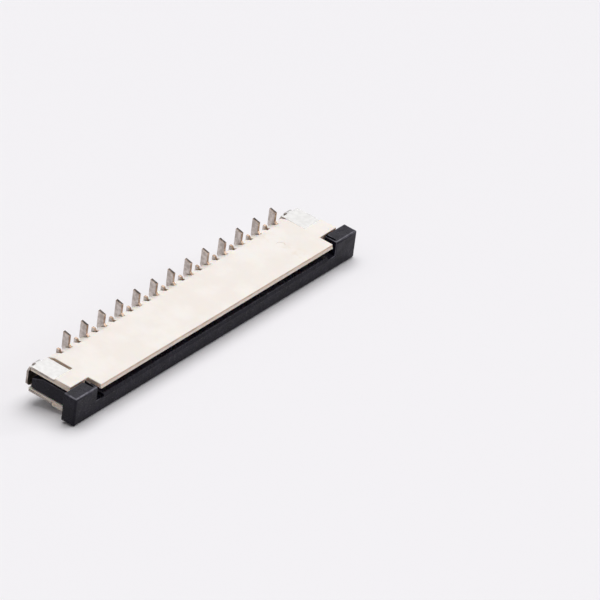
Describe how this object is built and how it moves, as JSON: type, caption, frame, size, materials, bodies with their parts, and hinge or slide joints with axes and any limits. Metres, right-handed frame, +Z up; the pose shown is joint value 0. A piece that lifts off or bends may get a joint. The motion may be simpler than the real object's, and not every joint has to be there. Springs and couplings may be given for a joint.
{
  "type": "fpc connector",
  "caption": "Straight surface-mount connector for flat flexible cable, with alternating solder tails, end solder nails and a pull-out locking slider.",
  "frame": {"origin": "middle of the underside of the bounding box, on the surface that the connector lies on", "axes": "+X along the row of contacts, -Y the side that the cable enters, +Y the side that is soldered to the board, +Z up"},
  "size_m": [0.0328, 0.006, 0.0044],
  "materials": {
    "housing": "satin",
    "slider": "satin",
    "contact": "satin",
    "solder_nail": "satin"
  },
  "bodies": {
    "housing": {"housing": "housing", "solder_nail_left": "solder_nail", "solder_nail_right": "solder_nail", "contact_01": "contact", "contact_02": "contact", "contact_03": "contact", "contact_04": "contact", "contact_05": "contact", "contact_06": "contact", "contact_07": "contact", "contact_08": "contact", "contact_09": "contact", "contact_10": "contact", "contact_11": "contact", "contact_12": "contact", "contact_13": "contact", "contact_14": "contact", "contact_15": "contact", "contact_16": "contact", "contact_17": "contact", "contact_18": "contact", "contact_19": "contact", "contact_20": "contact", "contact_21": "contact", "contact_22": "contact", "contact_23": "contact", "contact_24": "contact", "contact_25": "contact", "contact_26": "contact"},
    "slider": {"slider": "slider"}
  },
  "joints": [
    {"name": "slider_pull", "type": "slide", "parent": "housing", "child": "slider", "axis": [0, -0.9827, -0.185], "range_m": [0, 0.0012]}
  ]
}
